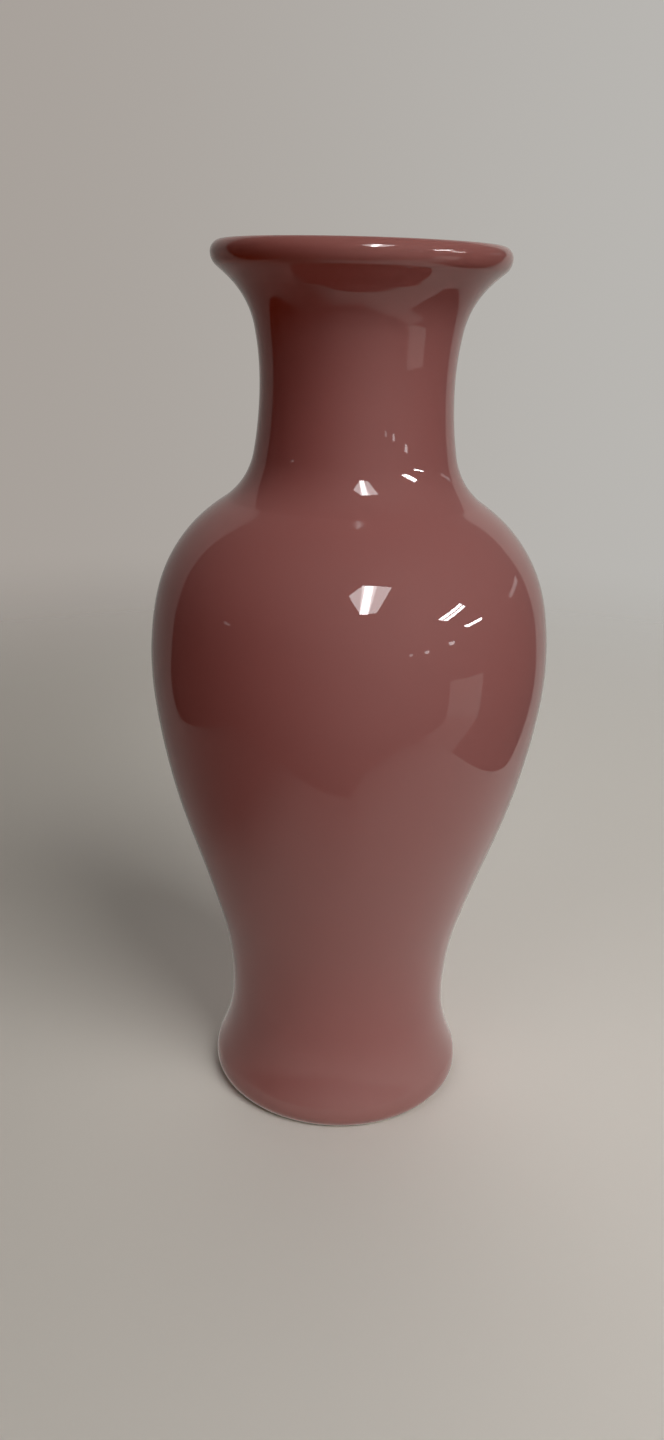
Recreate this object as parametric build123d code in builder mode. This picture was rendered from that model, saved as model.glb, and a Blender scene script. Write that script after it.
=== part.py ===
from build123d import *
import os
from math import sqrt
from typing import NamedTuple

# A baluster vase with a spreading foot, a drawn-in waist, a full belly and a short neck that flares
# into a rolled lip. The clay is one casting, and three coats of glaze are fired onto it.
# Sizes are in millimetres. The axis is Z, and the foot ring stands on Z = 0.

# Clay outside, station by station: radius, and height above the station below
foot_radius = 55.1
foot_edge = 5.2
waist_radius = 47.5
waist_above_base = 41.4
belly_radius = 80.9
belly_above_waist = 156.1
neck_radius = 37.25
neck_above_belly = 107.7
lip_radius = 55.85
lip_above_neck = 50.4
lip_roll = 4.0

# Steepest points between those stations, measured from the nearer one, and their slopes from upright
rise_out_from_waist = 18.2
rise_above_waist = 78.9
rise_slope = 19.1
turn_out_from_neck = 15.1
turn_below_neck = 45.3
turn_slope = 57.2
flare_in_from_lip = 6.7
flare_below_lip = 12.4
flare_slope = 47.6

# Where the two arcs between a pair of stations meet, as a part of the way, if not halfway
foot_share = 0.18
belly_share_below = 0.79
belly_share_above = 0.33

# Clay inside and underneath
wall = 5.0
mouth_slope = 30.0
floor_thickness = 6.0
floor_corner = 12.0
recess_depth = 6.0
recess_corner = 2.5
ring_width = 16.0
ring_round = 1.5

# Glaze, and how far round the foot's edge it reaches before it is wiped away
glaze = 0.4
glaze_stop_angle = 50.0


class Station(NamedTuple):
    """A point of the outline, as radius and height, and the way in which the outline runs there."""

    point: Vector
    way: Vector

    def inside(self):
        """The matching station on the inner face of the wall, where the outline runs back down."""
        return Station(self.point + self.way.rotate(Axis.Z, 90) * wall, -self.way)


def station(radius, height, slope=0.0):
    """A station on the outside, where the outline runs upwards and leans out by the slope."""
    return Station(Vector(radius, height), Vector(0, 1).rotate(Axis.Z, -slope))


def smooth_arcs(start, end, share=0.5):
    """Draw the two arcs that leave one station, meet smoothly and arrive along the way of the next."""
    across = end.point - start.point
    lean = start.way * share + end.way * (1 - share)
    along = across.dot(lean)
    reach = across.dot(across) / (along + sqrt(along**2 + (1 - lean.dot(lean)) * across.dot(across)))
    first_corner = start.point + start.way * (reach * share)
    second_corner = end.point - end.way * (reach * (1 - share))
    middle_way = second_corner - first_corner
    meeting = first_corner + middle_way * share
    TangentArc(start.point, meeting, tangent=start.way)
    TangentArc(meeting, end.point, tangent=middle_way)


belly_height = waist_above_base + belly_above_waist
neck_height = belly_height + neck_above_belly
lip_height = neck_height + lip_above_neck

foot = station(foot_radius, foot_edge)
waist = station(waist_radius, waist_above_base)
rise = station(waist_radius + rise_out_from_waist, waist_above_base + rise_above_waist, rise_slope)
belly = station(belly_radius, belly_height)
turn = station(neck_radius + turn_out_from_neck, neck_height - turn_below_neck, -turn_slope)
neck = station(neck_radius, neck_height)
flare = station(lip_radius - flare_in_from_lip, lip_height - flare_below_lip, flare_slope)
lip = station(lip_radius, lip_height - lip_roll)

foot_edge_centre = (foot_radius - foot_edge, foot_edge)
lip_centre = (lip_radius - lip_roll, lip_height - lip_roll)

# Outside: from the glaze line on the foot, up and over the lip to the edge of the mouth
with BuildLine() as outside:
    CenterArc(foot_edge_centre, foot_edge, -glaze_stop_angle, glaze_stop_angle)
    smooth_arcs(foot, waist, foot_share)
    smooth_arcs(waist, rise)
    smooth_arcs(rise, belly, belly_share_below)
    smooth_arcs(belly, turn, belly_share_above)
    smooth_arcs(turn, neck)
    smooth_arcs(neck, flare)
    smooth_arcs(flare, lip)
    lip_arc = CenterArc(lip_centre, lip_roll, 0, 180 - mouth_slope)

mouth = Station(lip_arc @ 1, lip_arc % 1)
floor_height = recess_depth + floor_thickness
floor_corner_height = floor_height + floor_corner
floor_radius = waist_radius - wall

# Inside: from the edge of the mouth down to the middle of the floor
with BuildLine() as inside:
    smooth_arcs(mouth, neck.inside())
    smooth_arcs(neck.inside(), turn.inside())
    smooth_arcs(turn.inside(), belly.inside(), 1 - belly_share_above)
    smooth_arcs(belly.inside(), rise.inside(), 1 - belly_share_below)
    smooth_arcs(rise.inside(), waist.inside())
    Line((floor_radius, waist_above_base), (floor_radius, floor_corner_height))
    floor_arc = CenterArc((floor_radius - floor_corner, floor_corner_height), floor_corner, 0, -90)
    Line(floor_arc @ 1, (0, floor_height))

recess_radius = foot_radius - ring_width
recess_arc_centre = (recess_radius - recess_corner, recess_depth - recess_corner)

# Underside: from the middle of the recess out and round its corner
with BuildLine() as underside:
    Line((0, recess_depth), (recess_radius - recess_corner, recess_depth))
    recess_arc = CenterArc(recess_arc_centre, recess_corner, 90, -90)

# Bare ring that the vase stands on, between the glaze in the recess and the glaze on the foot
with BuildLine() as bare_ring:
    Line(recess_arc @ 1, (recess_radius, ring_round))
    ring_arc = CenterArc((recess_radius + ring_round, ring_round), ring_round, 180, 90)
    Line(ring_arc @ 1, (foot_radius - foot_edge, 0))
    CenterArc(foot_edge_centre, foot_edge, -90, 90 - glaze_stop_angle)

os.makedirs("parts", exist_ok=True)

# Clay body: wall, floor, foot ring and rolled lip in one casting
with BuildPart() as clay_body:
    with BuildSketch(Plane.XZ):
        with BuildLine():
            add(outside.line)
            add(inside.line)
            Line((0, floor_height), (0, recess_depth))
            add(underside.line)
            add(bare_ring.line)
        make_face()
    revolve(axis=Axis.Z)
clay_body.part.label = "clay_body"
export_step(clay_body.part, "parts/clay_body.step")

# Outer glaze: the coloured coat from the foot to the edge of the mouth
with BuildPart() as outer_glaze:
    with BuildSketch(Plane.XZ):
        with BuildLine():
            offset(outside.line, amount=glaze, side=Side.RIGHT)
        make_face()
    revolve(axis=Axis.Z)
outer_glaze.part.label = "outer_glaze"
export_step(outer_glaze.part, "parts/outer_glaze.step")

# Inner glaze: the watertight coat from the edge of the mouth down over the floor
with BuildPart() as inner_glaze:
    with BuildSketch(Plane.XZ):
        with BuildLine():
            offset(inside.line, amount=glaze, side=Side.RIGHT)
        make_face()
    revolve(axis=Axis.Z)
inner_glaze.part.label = "inner_glaze"
export_step(inner_glaze.part, "parts/inner_glaze.step")

# Base glaze: the coat in the recess under the floor
with BuildPart() as base_glaze:
    with BuildSketch(Plane.XZ):
        with BuildLine():
            offset(underside.line, amount=glaze, side=Side.RIGHT)
        make_face()
    revolve(axis=Axis.Z)
base_glaze.part.label = "base_glaze"
export_step(base_glaze.part, "parts/base_glaze.step")
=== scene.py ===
# %% [markdown]
# # A glazed baluster vase
# The vase is one casting of clay under three coats of glaze: one outside, one inside and one in the
# recess under the floor. The frame already holds each of them as an exact solid at its real size, so
# nothing here decides a size or a place. What this lesson adds is the look: coats that are smooth
# enough to mirror a room, a glaze that has depth, bare clay at the foot, and light to see them by.

# %% Load the frame
import math

import bmesh
import bpy
import numpy as np
from mathutils import Matrix, Vector


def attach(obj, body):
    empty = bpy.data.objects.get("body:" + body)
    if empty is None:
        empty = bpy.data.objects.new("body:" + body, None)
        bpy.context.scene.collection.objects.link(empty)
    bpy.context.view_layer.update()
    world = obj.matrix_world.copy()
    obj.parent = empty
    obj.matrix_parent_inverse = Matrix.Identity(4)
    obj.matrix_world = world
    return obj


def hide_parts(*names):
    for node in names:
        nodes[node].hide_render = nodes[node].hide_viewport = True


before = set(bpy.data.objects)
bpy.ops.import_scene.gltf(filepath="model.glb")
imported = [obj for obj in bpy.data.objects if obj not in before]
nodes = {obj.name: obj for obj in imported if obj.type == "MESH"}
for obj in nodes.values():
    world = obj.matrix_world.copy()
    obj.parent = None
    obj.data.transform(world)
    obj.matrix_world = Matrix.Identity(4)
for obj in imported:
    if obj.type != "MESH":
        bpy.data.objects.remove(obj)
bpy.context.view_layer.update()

MM = 0.001


print("nodes:", sorted(nodes))

# %% [markdown]
# ## The line that the vase is turned from
# A potter would check this vase with one template, because it is round: all of its shape is in a
# single line from the foot over the lip to the middle of the floor. The frame's solids are triangles,
# and their seam lies in the half plane y = 0, so the line can be read from the edges on that seam.
# A copy is merged first, because the frame's triangles are loose.

# %% Read the seam of a solid
TOUCHING = 0.001 * MM


def seam_edges(node_name):
    """Pairs of points, as radius and height, for each edge of a solid that lies on its seam."""
    solid = bmesh.new()
    solid.from_mesh(nodes[node_name].data)
    bmesh.ops.remove_doubles(solid, verts=solid.verts, dist=TOUCHING)
    pairs = []
    for edge in solid.edges:
        if all(abs(v.co.y) < TOUCHING and v.co.x > -TOUCHING for v in edge.verts):
            pairs.append([(v.co.x, v.co.z) for v in edge.verts])
    solid.free()
    return np.array(pairs)


clay_edges = seam_edges("clay_body")
print("clay seam:", len(clay_edges), "edges")

# %% [markdown]
# A coat's section is a thin band. One long side of it lies on the clay, and the other is the surface
# that shows. The second is what is left of the seam once every point that touches the clay is dropped,
# and following it from edge to edge puts its points in order.

# %% Keep the side of a coat that shows
COATS = ("outer_glaze", "inner_glaze", "base_glaze")


def distance_to_clay(points):
    """How far each point of the half plane lies from the clay's section."""
    start = clay_edges[:, 0]
    along = clay_edges[:, 1] - start
    offset = points[:, None, :] - start[None]
    share = (offset * along).sum(2) / (along**2).sum(1)
    nearest = start + np.clip(share, 0, 1)[..., None] * along
    return np.linalg.norm(points[:, None, :] - nearest, axis=2).min(1)


def in_order(points, links):
    """The points of an open line, followed from its lowest or innermost end to the other."""
    ends = [i for i, found in links.items() if len(found) == 1]
    order = [min(ends, key=lambda i: (round(points[i][1] / MM), points[i][0]))]
    while len(order) < len(links):
        order.append(next(i for i in links[order[-1]] if i not in order[-2:]))
    return points[order]


def shown_line(node_name):
    """The points of a coat's free surface in order, and the thickness of the coat."""
    pairs = seam_edges(node_name)
    places, index = np.unique(np.round(pairs.reshape(-1, 2) / TOUCHING), axis=0, return_inverse=True)
    points = places * TOUCHING
    gaps = distance_to_clay(points)
    thickness = np.median(gaps[gaps > gaps.max() / 2])
    free = gaps > thickness / 2
    links = {i: [] for i in np.flatnonzero(free)}
    for a, b in index.reshape(-1, 2):
        if free[a] and free[b]:
            links[a].append(b)
            links[b].append(a)
    return in_order(points, links), thickness


lines = {name: shown_line(name) for name in COATS}
for name, (line, thickness) in lines.items():
    print(name, len(line), "points,", round(thickness / MM, 2), "mm thick")

# %% [markdown]
# ## Two coats, one line
# The outer and the inner coat meet on the lip, where no seam shows on a real vase because the glaze
# melts into one skin. So their lines are joined into one, from the foot over the lip and down to the
# middle of the floor, and are only cut apart again when the pieces are made. Both this line and the
# one under the floor run with the clay on their left.

# %% Join the lines
coat = lines["outer_glaze"][1]
outer_line, inner_line, base_line = (lines[name][0] for name in COATS)
floor_middle = (0, inner_line[0][1])
recess_middle = (0, base_line[-1][1])
over_the_lip = np.vstack([outer_line, inner_line[-2::-1], floor_middle])
under_the_floor = np.vstack([recess_middle, base_line[::-1]])
print("over the lip:", len(over_the_lip), "points; under the floor:", len(under_the_floor))

# %% [markdown]
# ## A line that is fair
# The solids are made of arcs that meet smoothly, but their bend changes in steps, and a mirror finish
# shows each step as a kink in a reflection. Boat builders call a line without such steps fair. A
# Subdivision Surface modifier would hide the steps, but it would also draw the vase thinner. So a
# smooth curve is put through the read points instead, and it goes exactly through them.

# %% Put a curve through a line's points
FINE_STEP = 0.4 * MM
LONGEST_CHORD = 12 * MM


def split_straights(line):
    """The line with more points on its straight runs, which have chords longer than any arc's."""
    parts = []
    for start, end in zip(line[:-1], line[1:]):
        length = np.linalg.norm(end - start)
        pieces = round(length / FINE_STEP) if length > LONGEST_CHORD else 1
        parts.append(start + np.arange(pieces)[:, None] / pieces * (end - start))
    return np.vstack([*parts, line[-1:]])


def fine_points(line):
    """Evenly spaced points on the smooth curve through a line's points."""
    line = split_straights(line)
    chord = np.linalg.norm(np.diff(line, axis=0), axis=1)
    along = np.r_[0, np.cumsum(chord)]
    ways = np.empty_like(line)
    ways[1:-1] = line[2:] - line[:-2]
    ways[0], ways[-1] = line[1] - line[0], line[-1] - line[-2]
    ways /= np.linalg.norm(ways, axis=1, keepdims=True)
    spots = np.linspace(0, along[-1], round(along[-1] / FINE_STEP) + 1)
    at = np.clip(np.searchsorted(along, spots, side="right") - 1, 0, len(chord) - 1)
    t = ((spots - along[at]) / chord[at])[:, None]
    reach = chord[at][:, None]
    end_part = t**2 * (3 - 2 * t)
    leaving = t * (1 - t) ** 2 * reach * ways[at]
    arriving = t**2 * (t - 1) * reach * ways[at + 1]
    return (1 - end_part) * line[at] + end_part * line[at + 1] + leaving + arriving


curve, recess_curve = fine_points(over_the_lip), fine_points(under_the_floor)
print("curve:", len(curve), "points over the lip,", len(recess_curve), "under the floor")

# %% [markdown]
# Then each point is averaged with its neighbours, over a shorter stretch where the line bends tightly,
# so that the lip stays a lip. The averaging is done twice, the second time on what the first one took
# away, which keeps the line from shrinking.

# %% Fair it
WIDEST_FAIRING = 5 * MM
FAIRING_SHARE = 0.12
FAIRING_SPREAD = 3
STRAIGHT = 1e-3


def headings(points):
    """The way in which a line runs at each of its points, as an angle."""
    way = np.gradient(points, axis=0)
    return np.unwrap(np.arctan2(way[:, 1], way[:, 0]))


def bell(distance, width):
    """How much a neighbour counts in an average: 1 close by, and less the further off it is."""
    return np.exp(-0.5 * (distance / width) ** 2)


def faired(points):
    """The same line with the steps in its bend smoothed out, its two ends kept in place."""
    step = np.linalg.norm(points[1] - points[0])
    extra = min(round(2 * FAIRING_SPREAD * WIDEST_FAIRING / step), len(points) - 1)
    before = 2 * points[0] - points[extra:0:-1]
    after = 2 * points[-1] - points[-2 : -extra - 2 : -1]
    longer = np.vstack([before, points, after])
    bend = np.abs(np.gradient(headings(longer))) / step
    apart = step * np.abs(np.subtract.outer(np.arange(len(longer)), np.arange(len(longer))))
    width = np.clip(FAIRING_SHARE / np.maximum(bend, STRAIGHT), step / 2, WIDEST_FAIRING)
    width = (width + apart / FAIRING_SPREAD).min(axis=1)[:, None]
    share = bell(apart, width)
    share /= share.sum(axis=1, keepdims=True)
    once = share @ longer
    twice = once + share @ (longer - once)
    return twice[extra : extra + len(points)]


fair_line, fair_recess = faired(curve), faired(recess_curve)
moved = np.linalg.norm(fair_line - curve, axis=1)
print("fair line: moved by", round(moved.max() / MM, 3), "mm at most")

# %% [markdown]
# ## From a line to the section of a coat
# Each point gets a number for how deep the glaze lies there: molten glaze draws back from a sharp edge
# such as the lip and gathers in a hollow such as the root of the neck. The bend of the line says which
# of the two a place is. The finish uses that number later.

# %% Say how deep the glaze lies along a line
POOLING_RADIUS = 9 * MM
POOLING_SPREAD = 3 * MM
FLAT_DEPTH = 0.5


def glaze_depths(points):
    """From 0 on a sharp outer edge, past 0.5 on a flat, to 1 in a tight hollow, for each point."""
    step = np.linalg.norm(points[1] - points[0])
    bend = np.gradient(headings(points)) / step
    reach = round(FAIRING_SPREAD * POOLING_SPREAD / step)
    share = bell(np.arange(-reach, reach + 1) * step, POOLING_SPREAD)
    spread_out = np.convolve(np.pad(bend, reach, mode="edge"), share / share.sum(), mode="valid")
    return FLAT_DEPTH - FLAT_DEPTH * np.tanh(POOLING_RADIUS * spread_out)


line_depths, recess_depths = glaze_depths(fair_line), glaze_depths(fair_recess)
print("glaze depth: from", line_depths.min().round(2), "to", line_depths.max().round(2))

# %% [markdown]
# The rows of the finished mesh come close together where the line turns and stand further apart where
# it runs straight. The hidden side, on the clay, needs only a third of them.

# %% Choose the rows and close the section
LONGEST_ROW = 4 * MM
SHARPEST_ROW = math.radians(4)
HIDDEN_ROWS = 3


def row_places(points):
    """Where the rows go along a line, counted in its points."""
    step = np.linalg.norm(np.diff(points, axis=0), axis=1)
    turn = np.abs(np.diff(headings(points)))
    cost = np.r_[0, np.cumsum(step / LONGEST_ROW + turn / SHARPEST_ROW)]
    even = np.linspace(0, cost[-1], math.ceil(cost[-1]) + 1)
    return np.interp(even, cost, np.arange(len(points)))


def coat_section(points, depths):
    """The section of a coat, as radius and height, and the glaze depth of each of its points.

    A coat that covers a floor has its section start and end on the axis, so it comes out closed there.
    """
    places = row_places(points)

    def at_rows(values):
        return np.interp(places, np.arange(len(points)), values)

    heading, depth = at_rows(headings(points)), at_rows(depths)
    shown = np.stack([at_rows(points[:, 0]), at_rows(points[:, 1])], axis=1)
    to_clay = np.stack([-np.sin(heading), np.cos(heading)], axis=1)
    back = np.linspace(len(shown) - 1, 0, len(shown) // HIDDEN_ROWS).round().astype(int)
    hidden = (shown + coat * to_clay)[back]
    hidden[shown[back, 0] < TOUCHING, 0] = 0
    shown[shown[:, 0] < TOUCHING, 0] = 0
    if shown[-1, 0] < TOUCHING:
        return np.vstack([hidden, shown]), np.r_[depth[back], depth]
    return np.vstack([shown, hidden]), np.r_[depth, depth[back]]


mouth_edge = np.linalg.norm(fair_line - outer_line[-1], axis=1).argmin()
sections = {
    "outer_glaze": coat_section(fair_line[: mouth_edge + 1], line_depths[: mouth_edge + 1]),
    "inner_glaze": coat_section(fair_line[mouth_edge:], line_depths[mouth_edge:]),
    "base_glaze": coat_section(fair_recess, recess_depths),
}
for name, (points, _) in sections.items():
    print(name, len(points), "rows, widest", round(points[:, 0].max() / MM, 3), "mm")

# %% [markdown]
# ## A lathe in Geometry Nodes
# Turning a section about an axis is a rule, so it suits Geometry Nodes: a flat grid has one column for
# each step round the vase and one row for each point of the section, and every grid point is moved to
# where its row says. The Screw modifier could do that too, but the tree can also add what no perfect
# lathe has, a faint ripple of the surface, and can carry the glaze depth along. A modifier's inputs
# are set by their identifiers, so these are kept.

# %% Name the lathe's inputs
LATHE_INPUTS = {
    "Section": "NodeSocketGeometry",
    "Columns": "NodeSocketInt",
    "Ring": "NodeSocketInt",
    "Ripple height": "NodeSocketFloat",
    "Ripples per metre": "NodeSocketFloat",
    "Ripple seed": "NodeSocketFloat",
    "Finish": "NodeSocketMaterial",
}
lathe = bpy.data.node_groups.new("vase_lathe", "GeometryNodeTree")
lathe_keys = {}
for label, kind in LATHE_INPUTS.items():
    socket = lathe.interface.new_socket(name=label, in_out="INPUT", socket_type=kind)
    lathe_keys[label] = socket.identifier
lathe.interface.new_socket(name="Vase", in_out="OUTPUT", socket_type="NodeSocketGeometry")
print("lathe inputs:", ", ".join(lathe_keys))

# %% [markdown]
# A few helpers keep a node tree short to write. The grid comes first. It is a metre wide and centred,
# so each of its points can tell from its own place which angle and which row it stands for. A section
# that is a ring gets its first row once more at the end, which closes it.

# %% Lay out the grid
GRID_HALF = 0.5


def set_values(node, values):
    """Give some of a node's inputs fixed values."""
    for label, value in values.items():
        node.inputs[label].default_value = value


def add_node(tree, kind, values=None, **settings):
    """A new node of a tree, with some of its own settings and fixed inputs."""
    node = tree.nodes.new(kind)
    for name, setting in settings.items():
        setattr(node, name, setting)
    set_values(node, values or {})
    return node


def join(tree, *pairs):
    """Link each pair of sockets, the first into the second."""
    for source, target in pairs:
        tree.links.new(source, target)


def math_node(tree, operation, first, second=None, third=None):
    """A Math node's result, from sockets or plain numbers."""
    node = add_node(tree, "ShaderNodeMath", operation=operation)
    for socket, value in zip(node.inputs, (first, second, third)):
        if isinstance(value, (int, float)):
            socket.default_value = value
        elif value is not None:
            join(tree, (value, socket))
    return node.outputs["Value"]


given = add_node(lathe, "NodeGroupInput").outputs
here = add_node(lathe, "GeometryNodeInputPosition").outputs["Position"]
counted = add_node(lathe, "GeometryNodeAttributeDomainSize", component="MESH")
grid = add_node(lathe, "GeometryNodeMeshGrid")
flat = add_node(lathe, "ShaderNodeSeparateXYZ")
section_rows = counted.outputs["Point Count"]
rows = math_node(lathe, "ADD", section_rows, given["Ring"])
join(
    lathe,
    (given["Section"], counted.inputs["Geometry"]),
    (math_node(lathe, "ADD", given["Columns"], 1), grid.inputs["Vertices X"]),
    (rows, grid.inputs["Vertices Y"]),
    (here, flat.inputs["Vector"]),
)
round_share, row_share = (math_node(lathe, "ADD", flat.outputs[axis], GRID_HALF) for axis in "XY")
angle = math_node(lathe, "MULTIPLY", round_share, math.tau)
last_row = math_node(lathe, "SUBTRACT", rows, 1)
row = math_node(lathe, "ROUND", math_node(lathe, "MULTIPLY", row_share, last_row))
row = math_node(lathe, "MODULO", row, section_rows)
print("lathe so far:", len(lathe.nodes), "nodes")

# %% [markdown]
# Each grid point then reads the section at its own row, with Sample Index, and goes to the place that
# the radius, the angle and the height give together. The glaze depth is read in the same way and
# stored on the grid.

# %% Move each grid point to its place
GLAZE_DEPTH = "glaze_depth"
DEPTH_NAME = {"Name": GLAZE_DEPTH}

depth_known = add_node(lathe, "GeometryNodeInputNamedAttribute", DEPTH_NAME, data_type="FLOAT")
read_point = add_node(lathe, "GeometryNodeSampleIndex", data_type="FLOAT_VECTOR", domain="POINT")
read_depth = add_node(lathe, "GeometryNodeSampleIndex", data_type="FLOAT", domain="POINT")
keep_depth = add_node(
    lathe, "GeometryNodeStoreNamedAttribute", DEPTH_NAME, data_type="FLOAT", domain="POINT"
)
spot = add_node(lathe, "ShaderNodeSeparateXYZ")
turned = add_node(lathe, "ShaderNodeCombineXYZ")
move = add_node(lathe, "GeometryNodeSetPosition")
cosine, sine = (math_node(lathe, kind, angle) for kind in ("COSINE", "SINE"))
join(
    lathe,
    (given["Section"], read_point.inputs["Geometry"]),
    (here, read_point.inputs["Value"]),
    (row, read_point.inputs["Index"]),
    (given["Section"], read_depth.inputs["Geometry"]),
    (depth_known.outputs["Attribute"], read_depth.inputs["Value"]),
    (row, read_depth.inputs["Index"]),
    (read_point.outputs["Value"], spot.inputs["Vector"]),
    (math_node(lathe, "MULTIPLY", spot.outputs["X"], cosine), turned.inputs["X"]),
    (math_node(lathe, "MULTIPLY", spot.outputs["X"], sine), turned.inputs["Y"]),
    (spot.outputs["Z"], turned.inputs["Z"]),
    (grid.outputs["Mesh"], keep_depth.inputs["Geometry"]),
    (read_depth.outputs["Value"], keep_depth.inputs["Value"]),
    (keep_depth.outputs["Geometry"], move.inputs["Geometry"]),
    (turned.outputs["Vector"], move.inputs["Position"]),
)
print("lathe so far:", len(lathe.nodes), "nodes")

# %% [markdown]
# Fired clay is never perfectly even. Noise moves each point in or out by a few hundredths of a
# millimetre, too little to see on the outline but enough to bend a reflection. It moves points only
# sideways, so the heights stay true.

# %% Add the ripple
SIDEWAYS = (1, 1, 0)
NOISE_MIDDLE = 0.5
RIPPLE_DETAIL = {"Detail": 1.0}

ripple = add_node(lathe, "ShaderNodeTexNoise", RIPPLE_DETAIL, noise_dimensions="4D")
outwards = add_node(lathe, "ShaderNodeVectorMath", {1: SIDEWAYS}, operation="MULTIPLY")
unit = add_node(lathe, "ShaderNodeVectorMath", operation="NORMALIZE")
shift = add_node(lathe, "ShaderNodeVectorMath", operation="SCALE")
push = add_node(lathe, "GeometryNodeSetPosition")
swing = math_node(lathe, "SUBTRACT", ripple.outputs["Fac"], NOISE_MIDDLE)
swing = math_node(lathe, "MULTIPLY", swing, 2)
join(
    lathe,
    (here, ripple.inputs["Vector"]),
    (given["Ripples per metre"], ripple.inputs["Scale"]),
    (given["Ripple seed"], ripple.inputs["W"]),
    (here, outwards.inputs[0]),
    (outwards.outputs["Vector"], unit.inputs[0]),
    (unit.outputs["Vector"], shift.inputs[0]),
    (math_node(lathe, "MULTIPLY", swing, given["Ripple height"]), shift.inputs["Scale"]),
    (move.outputs["Geometry"], push.inputs["Geometry"]),
    (shift.outputs["Vector"], push.inputs["Offset"]),
)
print("lathe so far:", len(lathe.nodes), "nodes")

# %% [markdown]
# The grid's two edges and the rows that lie on the axis are merged, so the result is one closed skin.
# It is shaded smooth, apart from the sharp edges where a coat ends.

# %% Close the skin and finish the tree
MERGE_WITHIN = 0.002 * MM
CREASE = math.radians(40)

merge = add_node(lathe, "GeometryNodeMergeByDistance", {"Distance": MERGE_WITHIN})
smooth = add_node(lathe, "GeometryNodeSetShadeSmooth", domain="FACE")
creases = add_node(lathe, "GeometryNodeSetShadeSmooth", {"Shade Smooth": False}, domain="EDGE")
edge_angle = add_node(lathe, "GeometryNodeInputMeshEdgeAngle").outputs["Unsigned Angle"]
realize = add_node(lathe, "GeometryNodeRealizeInstances")
paint = add_node(lathe, "GeometryNodeSetMaterial")
made = add_node(lathe, "NodeGroupOutput").inputs
join(
    lathe,
    (push.outputs["Geometry"], merge.inputs["Geometry"]),
    (merge.outputs["Geometry"], smooth.inputs["Geometry"]),
    (smooth.outputs["Geometry"], creases.inputs["Geometry"]),
    (math_node(lathe, "GREATER_THAN", edge_angle, CREASE), creases.inputs["Selection"]),
    (creases.outputs["Geometry"], realize.inputs["Geometry"]),
    (realize.outputs["Geometry"], paint.inputs["Geometry"]),
    (given["Finish"], paint.inputs["Material"]),
    (paint.outputs["Geometry"], made["Vase"]),
)
print("lathe:", len(lathe.nodes), "nodes")

# %% [markdown]
# ## The glaze
# The real glaze is a dusky rose glass about as thick as a fingernail, so glossy that lamps and floor
# show in it as in a dark mirror. A Principled shader gives both parts of that look: the colour that
# comes back from inside the glaze, and the mirror on top of it, which grows stronger towards the
# edges of the vase by itself. One even colour would look like plastic, so it drifts very slightly from
# place to place.

# %% Start the glaze with a drift of colour
ROSE = (0.315, 0.094, 0.088)
ROSE_DRIFT = (0.303, 0.088, 0.082)
DRIFT_NOISE = {"per_metre": 16, "detail": 3, "seed": 1}
NOISE_RANGE = (0.3, 0.7)


def new_finish(name):
    """A material, its node tree and its Principled shader."""
    material = bpy.data.materials.new(name)
    material.use_nodes = True
    return material, material.node_tree, material.node_tree.nodes["Principled BSDF"]


def object_noise(tree, per_metre, detail, seed):
    """A Noise texture on Object coordinates, so that the pattern is the same from every side."""
    values = {"Scale": per_metre, "Detail": detail, "W": seed}
    node = add_node(tree, "ShaderNodeTexNoise", values, noise_dimensions="4D")
    join(tree, (add_node(tree, "ShaderNodeTexCoord").outputs["Object"], node.inputs["Vector"]))
    return node.outputs["Fac"]


def mapped(tree, value, old_low, old_high, low, high, kind="LINEAR"):
    """A value moved from one range to another, and held inside the second."""
    values = {"From Min": old_low, "From Max": old_high, "To Min": low, "To Max": high}
    node = add_node(tree, "ShaderNodeMapRange", values, interpolation_type=kind)
    join(tree, (value, node.inputs["Value"]))
    return node.outputs["Result"]


def blended(tree, share, first, second):
    """A colour between two others, given as sockets or as red, green and blue."""
    node = add_node(tree, "ShaderNodeMix", data_type="RGBA")
    join(tree, (share, node.inputs["Factor"]))
    for socket, colour in ((node.inputs["A"], first), (node.inputs["B"], second)):
        if isinstance(colour, tuple):
            socket.default_value = (*colour, 1)
        else:
            join(tree, (colour, socket))
    return node.outputs["Result"]


rose_glaze, tree, shader = new_finish("glossy_rose_glaze")
drift = mapped(tree, object_noise(tree, **DRIFT_NOISE), *NOISE_RANGE, 0, 1)
colour = blended(tree, drift, ROSE, ROSE_DRIFT)
print("finish:", rose_glaze.name, "between", ROSE, "and", ROSE_DRIFT)

# %% [markdown]
# Here the number that was stored for the depth comes in. The glaze turns browner where it is thin, as
# on the lip, and deeper where it has gathered.

# %% Let the colour follow the depth
ROSE_THIN = (0.295, 0.080, 0.068)
ROSE_DEEP = (0.285, 0.079, 0.073)
THIN_DEPTHS = (0.0, 0.35)
DEEP_DEPTHS = (0.55, 0.9)
DEPTH_SHARE = 0.8

depth = add_node(tree, "ShaderNodeAttribute", attribute_name=GLAZE_DEPTH).outputs["Fac"]
colour = blended(tree, mapped(tree, depth, *THIN_DEPTHS, DEPTH_SHARE, 0), colour, ROSE_THIN)
colour = blended(tree, mapped(tree, depth, *DEEP_DEPTHS, 0, DEPTH_SHARE), colour, ROSE_DEEP)
print("thin glaze:", ROSE_THIN, "deep glaze:", ROSE_DEEP)

# %% [markdown]
# A thin pale film greys what faces upwards, and most of all the slope of the foot. It is partly dust,
# which a duster seldom reaches there, and partly a painted sheen, the pale veil that the light lays on
# these faces. The share on upward faces follows the surface's own direction, the share on the foot its
# height.

# %% Lay a film of dust and painted sheen on it
DUST_AND_SHEEN = (0.60, 0.57, 0.53)
DUST_AND_SHEEN_SLOPES = (0.1, 0.6)
DUST_AND_SHEEN_ON_SLOPES = 0.026
FOOT_HEIGHTS = (12 * MM, 40 * MM)
DUST_AND_SHEEN_ON_FOOT = 0.055

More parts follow.
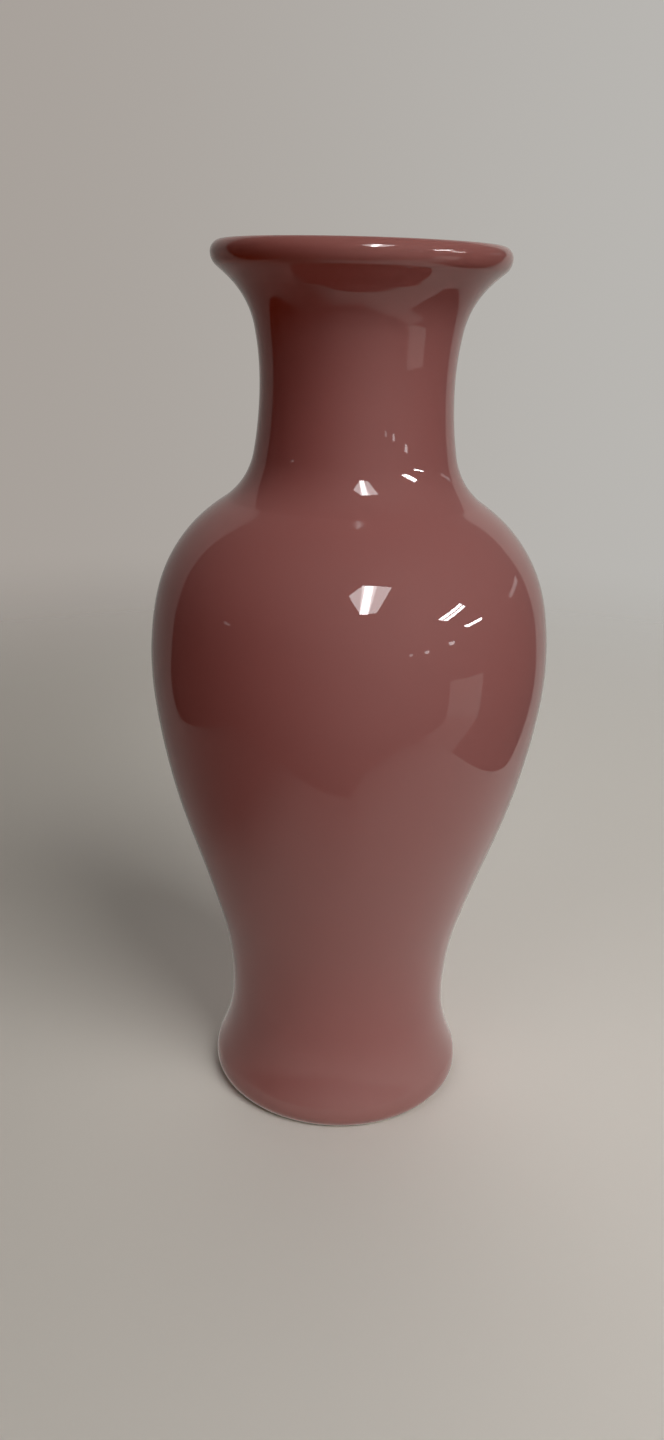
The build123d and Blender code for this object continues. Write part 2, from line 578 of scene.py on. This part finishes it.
surface = add_node(tree, "ShaderNodeTexCoord").outputs
place, way = (add_node(tree, "ShaderNodeSeparateXYZ") for _ in range(2))
# Dust and a painted sheen: what faces up, and the foot most of all, is greyed towards a pale film.
on_slopes = mapped(tree, way.outputs["Z"], *DUST_AND_SHEEN_SLOPES, 0, DUST_AND_SHEEN_ON_SLOPES)
on_foot = mapped(tree, place.outputs["Z"], *FOOT_HEIGHTS, DUST_AND_SHEEN_ON_FOOT, 0)
colour = blended(tree, math_node(tree, "ADD", on_slopes, on_foot), colour, DUST_AND_SHEEN)
join(
    tree,
    (surface["Object"], place.inputs["Vector"]),
    (surface["Normal"], way.inputs["Vector"]),
    (colour, shader.inputs["Base Color"]),
)
print("dust: a share of", DUST_AND_SHEEN_ON_SLOPES, "on slopes and", DUST_AND_SHEEN_ON_FOOT, "more on the foot")

# %% [markdown]
# The polish varies a little, and a faint unevenness bends the reflections. Fine bubbles spread some
# light into a wide veil, for which the shader's coat is used: a coat is usually a clear varnish, but a
# very rough one adds just such a veil over the crisp mirror. What is the same all over is set on the
# shader itself.

# %% Give it its gloss
POLISH = (0.012, 0.028)
POLISH_NOISE = {"per_metre": 90, "detail": 2, "seed": 2}
UNEVEN_NOISE = {"per_metre": 70, "detail": 1, "seed": 3}
UNEVEN_BUMP = {"Strength": 1.0, "Distance": 0.02 * MM}
GLASS_AND_VEIL = {"IOR": 1.5, "Coat Weight": 1.0, "Coat Roughness": 0.9, "Coat IOR": 1.7}

polish = mapped(tree, object_noise(tree, **POLISH_NOISE), *NOISE_RANGE, *POLISH)
uneven = add_node(tree, "ShaderNodeBump", UNEVEN_BUMP)
join(
    tree,
    (polish, shader.inputs["Roughness"]),
    (object_noise(tree, **UNEVEN_NOISE), uneven.inputs["Height"]),
    (uneven.outputs["Normal"], shader.inputs["Normal"]),
)
set_values(shader, GLASS_AND_VEIL)
print("finish:", rose_glaze.name, len(tree.nodes), "nodes")

# %% [markdown]
# ## The fired clay
# Bare clay shows only on the ring that the vase stands on, because a glazed ring would stick to the
# kiln shelf. It is matte and pale, with fine grains in it. The node from the frame already has the
# right shape there, so it stays and only gets this finish in its material slots.

# %% Mix the clay and give it to the clay body
CLAY = (0.68, 0.60, 0.49)
CLAY_DARK = (0.55, 0.46, 0.36)
CLOUD_NOISE = {"per_metre": 60, "detail": 4, "seed": 4}
CLOUD_SHARE = 0.6
GRAIN_NOISE = {"per_metre": 2400, "detail": 2, "seed": 5}
GRAIN_DARK = (0.62, 0.75)
GRAIN_SHARE = 0.5
GRAIN_BUMP = {"Strength": 0.6, "Distance": 0.1 * MM}
CLAY_ROUGHNESS = (0.8, 0.95)

fired_clay, tree, shader = new_finish("bare_fired_clay")
cloud = mapped(tree, object_noise(tree, **CLOUD_NOISE), *NOISE_RANGE, 0, CLOUD_SHARE)
grain = object_noise(tree, **GRAIN_NOISE)
rough = add_node(tree, "ShaderNodeBump", GRAIN_BUMP)
colour = blended(tree, cloud, CLAY, CLAY_DARK)
colour = blended(tree, mapped(tree, grain, *GRAIN_DARK, 0, GRAIN_SHARE), colour, CLAY_DARK)
join(
    tree,
    (colour, shader.inputs["Base Color"]),
    (mapped(tree, grain, *NOISE_RANGE, *CLAY_ROUGHNESS), shader.inputs["Roughness"]),
    (grain, rough.inputs["Height"]),
    (rough.outputs["Normal"], shader.inputs["Normal"]),
)
clay_slots = nodes["clay_body"].data.materials
clay_slots.clear()
clay_slots.append(fired_clay)
print("finish:", fired_clay.name, "on clay_body")

# %% [markdown]
# ## Turning the coats
# Each coat is one piece: its section goes in as bare points, the lathe makes the skin, and the result
# is kept as a plain mesh. The coat then rides on the vase's only body, and its node is hidden.

# %% Turn each section into a piece
LATHE_VALUES = {
    "Columns": 224,
    "Ripple height": 0.05 * MM,
    "Ripples per metre": 18.0,
    "Ripple seed": 7.0,
    "Finish": rose_glaze,
}


def turn_coat(node_name, points, depth):
    """A glaze coat as a finished mesh piece, in place of its node, which is hidden."""
    section = bpy.data.meshes.new(node_name + "_section")
    section.from_pydata([(radius, 0, height) for radius, height in points], [], [])
    section.attributes.new(GLAZE_DEPTH, "FLOAT", "POINT").data.foreach_set("value", depth)
    piece = bpy.data.objects.new(node_name + "_coat", section)
    bpy.context.scene.collection.objects.link(piece)
    modifier = piece.modifiers.new("lathe", "NODES")
    modifier.node_group = lathe
    is_ring = points[:, 0].min() > TOUCHING
    for label, value in {**LATHE_VALUES, "Ring": int(is_ring)}.items():
        modifier[lathe_keys[label]] = value
    graph = bpy.context.evaluated_depsgraph_get()
    result = piece.evaluated_get(graph)
    skin = bpy.data.meshes.new_from_object(result, depsgraph=graph, preserve_all_data_layers=True)
    piece.modifiers.clear()
    piece.data = skin
    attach(piece, "root")
    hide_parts(node_name)
    return piece


coats = [turn_coat(name, *section) for name, section in sections.items()]
print("coats:", ", ".join(piece.name for piece in coats))

# %% [markdown]
# A closed skin has a volume, and the volume comes out positive only if all its faces point outwards, so
# it serves as a test.

# %% Test the skins
for piece in coats:
    skin = bmesh.new()
    skin.from_mesh(piece.data)
    open_edges = sum(not edge.is_manifold for edge in skin.edges)
    triangles = sum(len(face.verts) - 2 for face in skin.faces)
    volume = skin.calc_volume(signed=True) / MM**3
    print(piece.name, triangles, "triangles,", open_edges, "open edges,", round(volume), "mm3")
    skin.free()

# %% [markdown]
# ## A place to stand
# The vase stands on a plain pale floor that runs out into the backdrop, so that no edge of it shows.
# A flat mesh from rows of points does for it, and for all that comes after it.

# %% Lay the floor
FLOOR_REACH = 6.0


def flat_mesh(name, rows):
    """A mesh from rows of points, with a face between each two neighbours."""
    width = len(rows[0])
    corners = [point for row in rows for point in row]
    faces = []
    for start in range(0, len(corners) - width, width):
        for i in range(start, start + width - 1):
            faces.append((i, i + 1, i + 1 + width, i + width))
    mesh = bpy.data.meshes.new(name)
    mesh.from_pydata(corners, [], faces)
    piece = bpy.data.objects.new(name, mesh)
    bpy.context.scene.collection.objects.link(piece)
    return piece


floor_ends = (-FLOOR_REACH, FLOOR_REACH)
floor = flat_mesh("floor", [[(x, y, 0) for x in floor_ends] for y in floor_ends])
floor.visible_glossy = False
print("floor:", 2 * FLOOR_REACH, "m square")

# %% [markdown]
# The floor's colour is a little paler on the right than on the left, a painted light and shade for
# lamps that fall more on the right. It fades with the distance from the vase, and what is behind it is
# the plain colour of the world.

# %% Finish the floor
SHADED_PALE_LEFT = (0.52, 0.495, 0.465)
LIT_PALE_RIGHT = (0.82, 0.80, 0.77)
PALE_SIDES = (-0.35, 0.15)
FLOOR_FADE = (0.35, 1.2)
FLOOR_MATTE = {"Roughness": 0.9, "Specular IOR Level": 0.0}

floor_finish, tree, shader = new_finish("pale_floor")
set_values(shader, FLOOR_MATTE)
spot = add_node(tree, "ShaderNodeTexCoord").outputs["Object"]
across = add_node(tree, "ShaderNodeSeparateXYZ")
from_vase = add_node(tree, "ShaderNodeVectorMath", operation="LENGTH")
clear = add_node(tree, "ShaderNodeBsdfTransparent")
fade = add_node(tree, "ShaderNodeMixShader")
# Painted light and shade: the floor's colour runs from shaded on the left to lit on the right.
tone = mapped(tree, across.outputs["X"], *PALE_SIDES, 0, 1, "SMOOTHSTEP")
gone = mapped(tree, from_vase.outputs["Value"], *FLOOR_FADE, 0, 1, "SMOOTHSTEP")
join(
    tree,
    (spot, across.inputs["Vector"]),
    (blended(tree, tone, SHADED_PALE_LEFT, LIT_PALE_RIGHT), shader.inputs["Base Color"]),
    (spot, from_vase.inputs[0]),
    (gone, fade.inputs["Fac"]),
    (shader.outputs["BSDF"], fade.inputs[1]),
    (clear.outputs["BSDF"], fade.inputs[2]),
    (fade.outputs["Shader"], tree.nodes["Material Output"].inputs["Surface"]),
)
floor.data.materials.append(floor_finish)
print("floor: fading between", FLOOR_FADE[0], "and", FLOOR_FADE[1], "m from the vase")

# %% [markdown]
# ## What the glaze mirrors
# A glossy thing shows its surroundings more than itself, so what it mirrors matters as much as the
# floor. A pale paper lies under the vase and rises behind it, narrower towards its top, and gives the
# pale bands along the vase's sides. Its three free edges are straight runs between a few places.

# %% Hang the paper
PAPER_BACK = 0.20
PAPER_BEND = 0.10
PAPER_TOP = 0.58
PAPER_LIFT = 0.2 * MM
PAPER_COLUMNS = 40
FLOOR_ROWS = 9
BEND_STEPS = 8
WALL_ROWS = 14
FRONT_EDGE = {
    "across": (-0.41, -0.33, -0.15, 0.015, 0.05, 0.19, 0.32),
    "places": (-0.19, -0.26, -0.26, -0.25, -0.29, -0.34, -0.32),
}
LEFT_EDGE = {
    "heights": (0.0, 0.10, 0.25, 0.36, 0.53, 0.60),
    "places": (-0.41, -0.52, -0.52, -0.465, -0.338, -0.27),
}
RIGHT_EDGE = {"heights": (0.0, 0.25, 0.36, 0.42), "places": (0.31, 0.33, 0.29, 0.21)}
bend_start = PAPER_BACK - PAPER_BEND


def front_edge(x):
    """How far forwards the paper reaches at a place across it."""
    return np.interp(x, FRONT_EDGE["across"], FRONT_EDGE["places"])


def paper_row(y, z, front_share=0.0):
    """A row of points across the paper, drawn forwards to its front edge by a share."""
    left, right = (np.interp(z, edge["heights"], edge["places"]) for edge in (LEFT_EDGE, RIGHT_EDGE))
    row = []
    for x in np.linspace(left, right, PAPER_COLUMNS):
        row.append((x, y + front_share * (front_edge(x) - y), z))
    return row


paper_rows = [paper_row(bend_start, PAPER_LIFT, share) for share in np.linspace(1, 0, FLOOR_ROWS)]
for i in range(1, BEND_STEPS):
    turn = math.pi / 2 * i / BEND_STEPS
    y = bend_start + PAPER_BEND * math.sin(turn)
    z = PAPER_LIFT + PAPER_BEND * (1 - math.cos(turn))
    paper_rows.append(paper_row(y, z))
for z in np.linspace(PAPER_LIFT + PAPER_BEND, PAPER_TOP, WALL_ROWS):
    paper_rows.append(paper_row(PAPER_BACK, z))
paper = flat_mesh("mirrored_paper", paper_rows)
print("paper:", len(paper_rows), "rows of", PAPER_COLUMNS)

# %% [markdown]
# The paper could be lit by lamps of its own, but each of them would change the vase too. So it gives
# off light by itself: a brightness is worked out for each of its corners and stored as an attribute,
# and its finish turns that into light. Only reflections see the paper. The camera looks through it,
# and it throws no shadow.

# %% Make the paper glow
PAPER_TINT = (1.0, 0.95, 0.88)
PAPER_ACROSS = (-0.20, -0.10, 0.06, 0.20)
FRONT_TONES = (0.10, 0.52, 0.72, 0.76)
# The row behind the vase is darker on its left: the vase's painted shadow.
SHADOWED_BACK_TONES = (0.20, 0.19, 0.48, 0.63)
TONES_TURN = (-0.10, 0.10)
FRONT_FADE = 0.10
FRONT_DIM = 0.6
WALL_HEIGHTS = (0.20, 0.30, 0.50, 0.58)
LEFT_WALL = (0.195, 0.21, 0.32, 0.20)
RIGHT_WALL = (0.40, 0.51, 0.50, 0.27)


def paper_brightness(x, y, z):
    """How brightly the paper glows at a point: a painted shade on its left, the vase's painted shadow
    behind it, and dimmer at its front edge.
    """
    tones = [np.interp(x, PAPER_ACROSS, side) for side in (FRONT_TONES, SHADOWED_BACK_TONES)]
    low = np.interp(y, TONES_TURN, tones)
    low *= np.interp(y - front_edge(x), (0, FRONT_FADE), (FRONT_DIM, 1))
    walls = [np.interp(z, WALL_HEIGHTS, side) for side in (LEFT_WALL, RIGHT_WALL)]
    high = np.interp(x, (PAPER_ACROSS[0], PAPER_ACROSS[-1]), walls)
    return float(low + (high - low) * np.interp(y, (bend_start, PAPER_BACK), (0, 1)))


def glowing_finish(name, tint, strength=1.0):
    """A material that only gives off light, and its tree and Emission shader."""
    material, tree, shader = new_finish(name)
    light = add_node(tree, "ShaderNodeEmission", {"Color": (*tint, 1), "Strength": strength})
    join(tree, (light.outputs["Emission"], tree.nodes["Material Output"].inputs["Surface"]))
    tree.nodes.remove(shader)
    return material, tree, light


def mirrored_only(piece):
    """Hide a stage piece from everything but reflections."""
    piece.visible_camera = False
    piece.visible_diffuse = False
    piece.visible_shadow = False


tones = [paper_brightness(*vertex.co) for vertex in paper.data.vertices]
paper.data.attributes.new("brightness", "FLOAT", "POINT").data.foreach_set("value", tones)
paper_finish, tree, light = glowing_finish("pale_paper", PAPER_TINT)
stored = add_node(tree, "ShaderNodeAttribute", attribute_name="brightness").outputs["Fac"]
join(tree, (stored, light.inputs["Strength"]))
paper.data.materials.append(paper_finish)
mirrored_only(paper)
print("paper: brightness from", round(min(tones), 2), "to", round(max(tones), 2))

# %% [markdown]
# A smaller leaf of paper lies on the right, and a pale panel stands a few steps away, lower than the
# vase, with a slanting lower edge. Like the paper, both glow by themselves, a painted light in place of
# lit paper, and only reflections see them. The belly mirrors the panel as a small patch. The neck
# mirrors it as well, but the neck is hollow along its height, so it draws the same panel out into a
# tall stripe.

# %% Lay a leaf beside it and stand a panel further off
LEAF = [[(0.30, -0.335), (0.50, -0.34)], [(0.30, -0.187), (0.56, -0.155)]]
LEAF_BRIGHT = 0.62
PANEL_FOOT = [(2.10, -1.37), (2.45, -0.50)]
PANEL_LOW = (-1.15, -0.78)
PANEL_TOP = -0.13
PANEL_BRIGHT = 0.9

leaf = flat_mesh("mirrored_leaf", [[(x, y, PAPER_LIFT) for x, y in row] for row in LEAF])
panel_edges = [PANEL_LOW, (PANEL_TOP, PANEL_TOP)]
panel_rows = [[(x, y, z) for (x, y), z in zip(PANEL_FOOT, edge)] for edge in panel_edges]
panel = flat_mesh("mirrored_panel", panel_rows)
# Both glow by themselves: painted light in place of lit paper.
for piece, brightness in ((leaf, LEAF_BRIGHT), (panel, PANEL_BRIGHT)):
    piece.data.materials.append(glowing_finish("pale_" + piece.name, PAPER_TINT, brightness)[0])
    mirrored_only(piece)
print("panel:", round(PANEL_TOP - min(PANEL_LOW), 2), "m high")

# %% [markdown]
# Above hangs a plain ceiling with flat lamps in it, as in a workshop. Seen from the vase they are
# small, so they give crisp highlights, and the vase repeats all of them at the root of its neck and on
# its lip. The nearest lamp gives a broad one on the belly. It has a wing on its left, and a bright
# strip down its middle with a softer glow on both sides. Each of these is a flat face of its own, given
# by its corners, and the glow and the strip hang a little lower than the rest. Again only reflections
# see them.

# %% Hang the nearest lamp
CEILING = 1.7
FACE_DROP = 5 * MM
LAMP_TINT = (1.0, 0.98, 0.98)
NEAR_LAMP = [[(0.20, -1.13), (0.68, -1.10)], [(0.27, -2.40), (0.67, -2.245)]]
NEAR_HALO = [[(0.190, -1.14), (0.425, -1.12)], [(0.248, -2.36), (0.475, -2.33)]]
NEAR_STRIP = [[(0.236, -1.14), (0.365, -1.12)], [(0.263, -2.377), (0.459, -2.353)]]
NEAR_WING = [[(0.21, -1.13), (-0.02, -1.50)], [(0.25, -2.30), (0.05, -1.77)]]
NEAR_BRIGHT = 8
HALO_BRIGHT = 15
STRIP_BRIGHT = 32


def ceiling_lamp(name, corners, brightness, drop=0.0):
    """A flat lamp with its corners at given places on the ceiling, seen only in reflections."""
    lamp = flat_mesh(name, [[(x, y, CEILING - drop) for x, y in row] for row in corners])
    lamp.data.materials.append(glowing_finish(name + "_light", LAMP_TINT, brightness)[0])
    mirrored_only(lamp)
    return lamp


lamps = [
    ceiling_lamp("near_lamp", NEAR_LAMP, NEAR_BRIGHT),
    ceiling_lamp("near_lamp_halo", NEAR_HALO, HALO_BRIGHT, drop=FACE_DROP),
    ceiling_lamp("near_lamp_strip", NEAR_STRIP, STRIP_BRIGHT, drop=2 * FACE_DROP),
    ceiling_lamp("near_lamp_wing", NEAR_WING, NEAR_BRIGHT),
]
print("nearest lamp:", len(lamps), "faces")

# %% [markdown]
# The next lamps give slanting lines, and the far ones only dots. Seen from far away, a flat lamp on a
# ceiling shrinks to a thin line, so most of the far ones are long and point at the vase, which keeps
# their dots round.

# %% Hang the other lamps
TUBE_BRIGHT = 45
THIRD_LAMP = [[(5.79, -0.76), (6.34, -0.83)], [(5.71, -2.25), (6.50, -2.18)]]
NEXT_TUBES = [
    [[(2.78, -0.90), (2.97, -0.90)], [(2.98, -2.17), (3.22, -2.17)]],
    [[(3.05, -0.89), (3.23, -0.89)], [(3.32, -2.16), (3.57, -2.16)]],
]
FAR_LAMPS = {
    "front": {"place": (11.9, -7.1), "size": (0.8, 4.0), "brightness": 7},
    "front_right": {"place": (13.3, -13.9), "size": (0.8, 6.0), "brightness": 6},
    "front_far": {"place": (11.8, -17.2), "size": (0.7, 5.0), "brightness": 3.5},
    "left": {"place": (-9.0, -2.7), "size": (0.7, 1.4), "brightness": 1.2},
    "behind": {"place": (5.9, 3.2), "size": (1.8, 1.2), "brightness": 1.1},
}


def around(place, size):
    """The corners of a level rectangle about a place, with its length pointing at the vase."""
    middle = Vector(place)
    along = middle.normalized() * size[1] / 2
    across = along.orthogonal().normalized() * size[0] / 2
    return [[middle + a * across + b * along for a in (-1, 1)] for b in (-1, 1)]


lamps.append(ceiling_lamp("third_lamp", THIRD_LAMP, TUBE_BRIGHT))
for i, tube in enumerate(NEXT_TUBES):
    lamps.append(ceiling_lamp(f"next_lamp_tube_{i}", tube, TUBE_BRIGHT))
for side, lamp in FAR_LAMPS.items():
    corners = around(lamp["place"], lamp["size"])
    lamps.append(ceiling_lamp(f"lamp_{side}", corners, lamp["brightness"]))
print("ceiling lamps:", len(lamps), "faces in all")

# %% [markdown]
# ## Light
# The light on the colour itself is soft. The world has three faces, chosen by the kind of ray that
# reaches it: a glow for rays that gather light, which keeps the back of the vase from going black, a
# dim room for rays that were mirrored, and the backdrop for the camera. The glow and the room are each
# a few soft patches on the sky.

# %% Make the glow and the room
GLOW_TINT = (1.0, 0.97, 0.92)
GLOW_PATCHES = [(0, 90, 3, 0.04), (180, 20, 9, 1.4)]
ROOM_PATCHES = [(30, 8, 4, 0.42), (180, 15, 12, 0.25)]


def direction(azimuth, elevation):
    """A unit vector from two angles in degrees; azimuth 0 is the vase's front and 90 its right."""
    azimuth, elevation = math.radians(azimuth), math.radians(elevation)
    level = math.cos(elevation)
    return Vector((math.sin(azimuth) * level, -math.cos(azimuth) * level, math.sin(elevation)))


def facing(tree, azimuth, elevation):
    """From 0 away from a direction to 1 towards it, for each ray that reaches the world."""
    towards = {1: direction(azimuth, elevation)}
    node = add_node(tree, "ShaderNodeVectorMath", towards, operation="DOT_PRODUCT")
    join(tree, (add_node(tree, "ShaderNodeTexCoord").outputs["Generated"], node.inputs[0]))
    return mapped(tree, node.outputs["Value"], -1, 1, 0, 1)


def patches(tree, places):
    """The light of several soft patches, each with its azimuth, elevation, fall-off and brightness."""
    total = 0.0
    for azimuth, elevation, fall, brightness in places:
        patch = math_node(tree, "POWER", facing(tree, azimuth, elevation), fall)
        total = math_node(tree, "MULTIPLY_ADD", patch, brightness, total)
    return total


world = bpy.data.worlds.new("soft_glow")
world.use_nodes = True
tree = world.node_tree
glow, room = (add_node(tree, "ShaderNodeBackground", {"Color": (*GLOW_TINT, 1)}) for _ in range(2))
join(
    tree,
    (patches(tree, GLOW_PATCHES), glow.inputs["Strength"]),
    (patches(tree, ROOM_PATCHES), room.inputs["Strength"]),
)
print("world:", len(GLOW_PATCHES), "patches of glow,", len(ROOM_PATCHES), "of room")

# %% [markdown]
# The backdrop is plain, and like the floor a little brighter on the right, a painted light for lamps
# that fall more on that side. The Light Path node tells which kind of ray it is, and two Mix Shaders
# choose by it.

# %% Add the backdrop and choose between the three
SHADED_BACKDROP_LEFT = (0.400, 0.365, 0.335)
LIT_BACKDROP_RIGHT = (0.500, 0.488, 0.465)
BACKDROP_TURN = (0.325, 0.675)
RIGHT_SIDE = (90, 0)

backdrop = tree.nodes["Background"]
# Painted light: the backdrop runs from shaded on the left to lit on the right.
sideways = mapped(tree, facing(tree, *RIGHT_SIDE), *BACKDROP_TURN, 0, 1, "SMOOTHSTEP")
path = add_node(tree, "ShaderNodeLightPath").outputs
mirrored, shown = (add_node(tree, "ShaderNodeMixShader") for _ in range(2))
join(
    tree,
    (blended(tree, sideways, SHADED_BACKDROP_LEFT, LIT_BACKDROP_RIGHT), backdrop.inputs["Color"]),
    (path["Is Glossy Ray"], mirrored.inputs["Fac"]),
    (glow.outputs["Background"], mirrored.inputs[1]),
    (room.outputs["Background"], mirrored.inputs[2]),
    (path["Is Camera Ray"], shown.inputs["Fac"]),
    (mirrored.outputs["Shader"], shown.inputs[1]),
    (backdrop.outputs["Background"], shown.inputs[2]),
    (shown.outputs["Shader"], tree.nodes["World Output"].inputs["Surface"]),
)
bpy.context.scene.world = world
print("world:", len(tree.nodes), "nodes")

# %% [markdown]
# A large lamp in front on the right leaves the left of the vase darker, and a weak one keeps that side
# from going black. They don't show in the glaze, because the ceiling is already there for that.

# %% Place the soft lamps
BELLY_MIDDLE = Vector((0, 0, 0.2))
SOFT_DISTANCE = 3.2
SOFT_SIZE = 1.8
SOFT_LAMPS = {
    "soft_lamp_front": {"azimuth": 40, "elevation": 45, "strength": 0.60},
    "soft_lamp_left": {"azimuth": -40, "elevation": 35, "strength": 0.10},
}


def soft_lamp(name, azimuth, elevation, strength):
    """A square lamp aimed at the belly, which would light a white card there as brightly as given."""
    lamp = bpy.data.lights.new(name, "AREA")
    lamp.size = SOFT_SIZE
    lamp.energy = strength * math.pi**2 * SOFT_DISTANCE**2
    lamp.color = GLOW_TINT
    holder = bpy.data.objects.new(name, lamp)
    way = direction(azimuth, elevation)
    holder.matrix_world = way.to_track_quat("Z", "Y").to_matrix().to_4x4()
    holder.location = BELLY_MIDDLE + way * SOFT_DISTANCE
    holder.visible_camera = False
    holder.visible_glossy = False
    bpy.context.scene.collection.objects.link(holder)
    return holder


for name, values in SOFT_LAMPS.items():
    lamp = soft_lamp(name, **values)
    print(name, "at", [round(v, 2) for v in lamp.location], round(lamp.data.energy, 1), "W")

# %% [markdown]
# ## The camera
# The picture was taken from close by and a little above the belly, by a camera tipped down and very
# slightly turned on its own axis. From so near, the lip and the foot are seen at clearly different
# slopes, which is most of what makes the vase look its size. The focal length is for a frame whose
# long side is 36 mm.

# %% Set up the camera
CAMERA_PLACE = (0.0, -0.4670, 0.3362)
CAMERA_YAW = -0.74
CAMERA_TIP = 19.86
CAMERA_ROLL = 1.63
CAMERA_LENS = 29.125
CAMERA_FRAME = 36

yaw, tip, roll = (math.radians(angle) for angle in (CAMERA_YAW, CAMERA_TIP, CAMERA_ROLL))
level = Vector((math.sin(yaw), math.cos(yaw), 0))
right = Vector((math.cos(yaw), -math.sin(yaw), 0))
forward = level * math.cos(tip) - Vector((0, 0, math.sin(tip)))
upward = right.cross(forward)
across = right * math.cos(roll) + upward * math.sin(roll)
upright = upward * math.cos(roll) - right * math.sin(roll)

camera = bpy.data.objects.new("camera", bpy.data.cameras.new("camera"))
camera.data.lens = CAMERA_LENS
camera.data.sensor_width = CAMERA_FRAME
camera.matrix_world = Matrix((across, upright, -forward)).transposed().to_4x4()
camera.location = CAMERA_PLACE
bpy.context.scene.collection.objects.link(camera)
bpy.context.scene.camera = camera
print("camera at", CAMERA_PLACE, "looking along", [round(v, 3) for v in forward])

# %% [markdown]
# A camera also sinks the darkest tones a little. The view settings take off a small black level in the
# same way, which deepens the red on the shaded side, and the Standard transform leaves all other
# colours as they are.

# %% Set the tones of the view
BLACK_LEVEL = 0.018

view = bpy.context.scene.view_settings
view.view_transform = "Standard"
view.use_curve_mapping = True
view.curve_mapping.black_level = (BLACK_LEVEL,) * 3
view.curve_mapping.update()
print("view:", view.view_transform, "with a black level of", BLACK_LEVEL)

# %% [markdown]
# ## Finishing
# The last line brings the scene up to date.

# %% Bring the scene up to date
bpy.context.view_layer.update()
